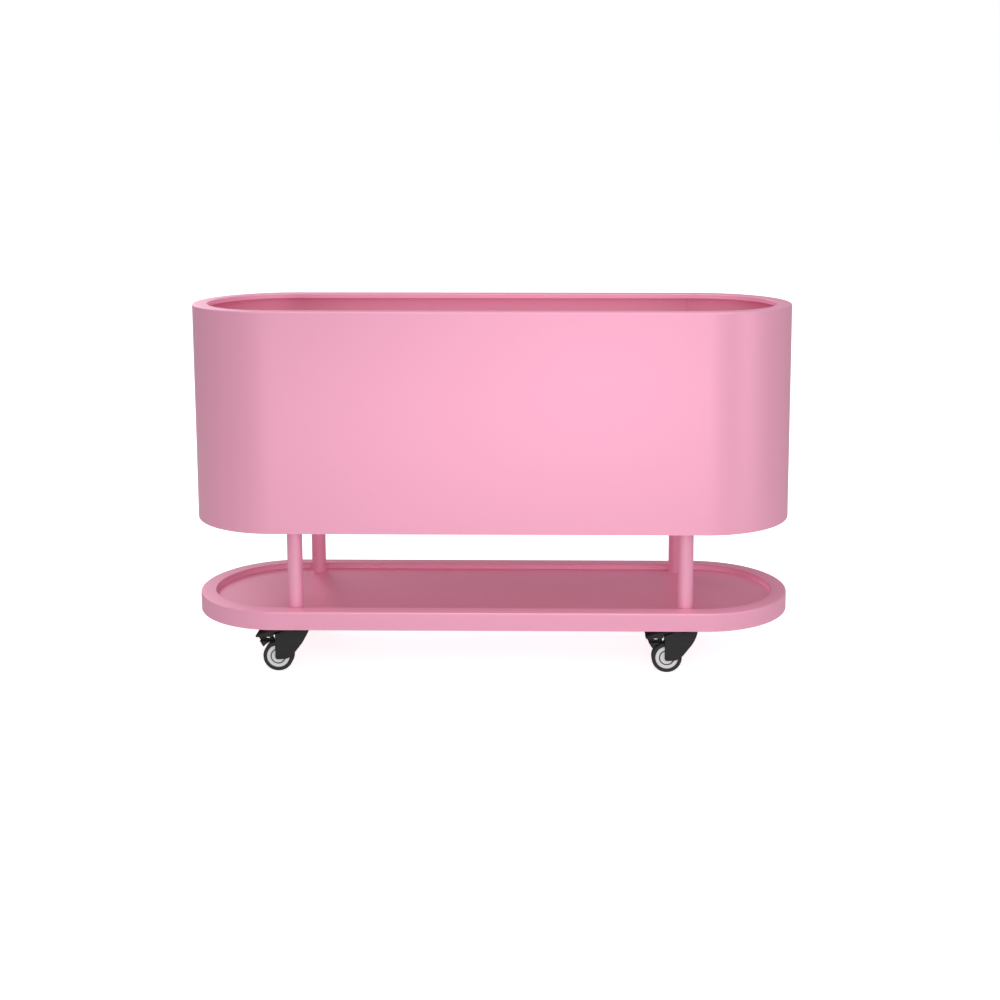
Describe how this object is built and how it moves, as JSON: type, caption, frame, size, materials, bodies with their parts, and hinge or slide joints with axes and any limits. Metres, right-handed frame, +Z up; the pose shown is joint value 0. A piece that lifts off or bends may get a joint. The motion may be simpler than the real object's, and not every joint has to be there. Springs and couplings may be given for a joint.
{
  "type": "spa trolley cart",
  "caption": "Long open-topped metal tub with rounded ends, held on posts above a rimmed tray, on braked swivel castors.",
  "frame": {"origin": "on the floor under the middle of the cart", "axes": "+X along the length, -Y to the front, +Z up"},
  "size_m": [1, 0.3, 0.6],
  "materials": {
    "pink_powder_coat": "satin powder coat",
    "black_nylon": "satin moulded nylon",
    "white_hub_plastic": "glossy moulded plastic",
    "tyre_rubber": "matt moulded rubber",
    "zinc_steel": "bright zinc plate"
  },
  "bodies": {
    "cart": {"tub_wall": "pink_powder_coat", "tub_rim_plate": "pink_powder_coat", "tub_rim_lip": "pink_powder_coat", "tub_floor": "pink_powder_coat", "wall_seam_strip": "pink_powder_coat", "tray_wall": "pink_powder_coat", "tray_rim_plate": "pink_powder_coat", "tray_pan": "pink_powder_coat", "post_front_left": "pink_powder_coat", "post_top_plug_front_left": "zinc_steel", "post_top_bolt_front_left": "zinc_steel", "post_bottom_plug_front_left": "zinc_steel", "castor_socket_front_left": "pink_powder_coat", "castor_stem_front_left": "zinc_steel", "swivel_race_front_left": "zinc_steel", "post_front_right": "pink_powder_coat", "post_top_plug_front_right": "zinc_steel", "post_top_bolt_front_right": "zinc_steel", "post_bottom_plug_front_right": "zinc_steel", "castor_socket_front_right": "pink_powder_coat", "castor_stem_front_right": "zinc_steel", "swivel_race_front_right": "zinc_steel", "post_rear_left": "pink_powder_coat", "post_top_plug_rear_left": "zinc_steel", "post_top_bolt_rear_left": "zinc_steel", "post_bottom_plug_rear_left": "zinc_steel", "castor_socket_rear_left": "pink_powder_coat", "castor_stem_rear_left": "zinc_steel", "swivel_race_rear_left": "zinc_steel", "post_rear_right": "pink_powder_coat", "post_top_plug_rear_right": "zinc_steel", "post_top_bolt_rear_right": "zinc_steel", "post_bottom_plug_rear_right": "zinc_steel", "castor_socket_rear_right": "pink_powder_coat", "castor_stem_rear_right": "zinc_steel", "swivel_race_rear_right": "zinc_steel"},
    "castor_front_left": {"castor_fork_front_left": "black_nylon", "wheel_axle_front_left": "zinc_steel", "brake_pin_front_left": "zinc_steel"},
    "wheel_front_left": {"wheel_hub_front_left": "white_hub_plastic", "wheel_tyre_front_left": "tyre_rubber"},
    "pedal_front_left": {"brake_pedal_front_left": "black_nylon"},
    "castor_front_right": {"castor_fork_front_right": "black_nylon", "wheel_axle_front_right": "zinc_steel", "brake_pin_front_right": "zinc_steel"},
    "wheel_front_right": {"wheel_hub_front_right": "white_hub_plastic", "wheel_tyre_front_right": "tyre_rubber"},
    "pedal_front_right": {"brake_pedal_front_right": "black_nylon"},
    "castor_rear_left": {"castor_fork_rear_left": "black_nylon", "wheel_axle_rear_left": "zinc_steel", "brake_pin_rear_left": "zinc_steel"},
    "wheel_rear_left": {"wheel_hub_rear_left": "white_hub_plastic", "wheel_tyre_rear_left": "tyre_rubber"},
    "pedal_rear_left": {"brake_pedal_rear_left": "black_nylon"},
    "castor_rear_right": {"castor_fork_rear_right": "black_nylon", "wheel_axle_rear_right": "zinc_steel", "brake_pin_rear_right": "zinc_steel"},
    "wheel_rear_right": {"wheel_hub_rear_right": "white_hub_plastic", "wheel_tyre_rear_right": "tyre_rubber"},
    "pedal_rear_right": {"brake_pedal_rear_right": "black_nylon"}
  },
  "joints": [
    {"name": "swivel_front_left", "type": "hinge", "parent": "cart", "child": "castor_front_left", "pos_m": [-0.32, -0.1115, 0.074], "axis": [0, 0, 1], "continuous": true},
    {"name": "wheel_spin_front_left", "type": "hinge", "parent": "castor_front_left", "child": "wheel_front_left", "pos_m": [-0.35, -0.1115, 0.025], "axis": [0, 1, 0], "continuous": true},
    {"name": "brake_front_left", "type": "hinge", "parent": "castor_front_left", "child": "pedal_front_left", "pos_m": [-0.344, -0.1115, 0.0642], "axis": [0, -1, 0], "range_deg": [0, 5]},
    {"name": "swivel_front_right", "type": "hinge", "parent": "cart", "child": "castor_front_right", "pos_m": [0.32, -0.1115, 0.074], "axis": [0, 0, 1], "continuous": true},
    {"name": "wheel_spin_front_right", "type": "hinge", "parent": "castor_front_right", "child": "wheel_front_right", "pos_m": [0.29, -0.1115, 0.025], "axis": [0, 1, 0], "continuous": true},
    {"name": "brake_front_right", "type": "hinge", "parent": "castor_front_right", "child": "pedal_front_right", "pos_m": [0.296, -0.1115, 0.0642], "axis": [0, -1, 0], "range_deg": [0, 5]},
    {"name": "swivel_rear_left", "type": "hinge", "parent": "cart", "child": "castor_rear_left", "pos_m": [-0.32, 0.1115, 0.074], "axis": [0, 0, 1], "continuous": true},
    {"name": "wheel_spin_rear_left", "type": "hinge", "parent": "castor_rear_left", "child": "wheel_rear_left", "pos_m": [-0.35, 0.1115, 0.025], "axis": [0, 1, 0], "continuous": true},
    {"name": "brake_rear_left", "type": "hinge", "parent": "castor_rear_left", "child": "pedal_rear_left", "pos_m": [-0.344, 0.1115, 0.0642], "axis": [0, -1, 0], "range_deg": [0, 5]},
    {"name": "swivel_rear_right", "type": "hinge", "parent": "cart", "child": "castor_rear_right", "pos_m": [0.32, 0.1115, 0.074], "axis": [0, 0, 1], "continuous": true},
    {"name": "wheel_spin_rear_right", "type": "hinge", "parent": "castor_rear_right", "child": "wheel_rear_right", "pos_m": [0.29, 0.1115, 0.025], "axis": [0, 1, 0], "continuous": true},
    {"name": "brake_rear_right", "type": "hinge", "parent": "castor_rear_right", "child": "pedal_rear_right", "pos_m": [0.296, 0.1115, 0.0642], "axis": [0, -1, 0], "range_deg": [0, 5]}
  ]
}
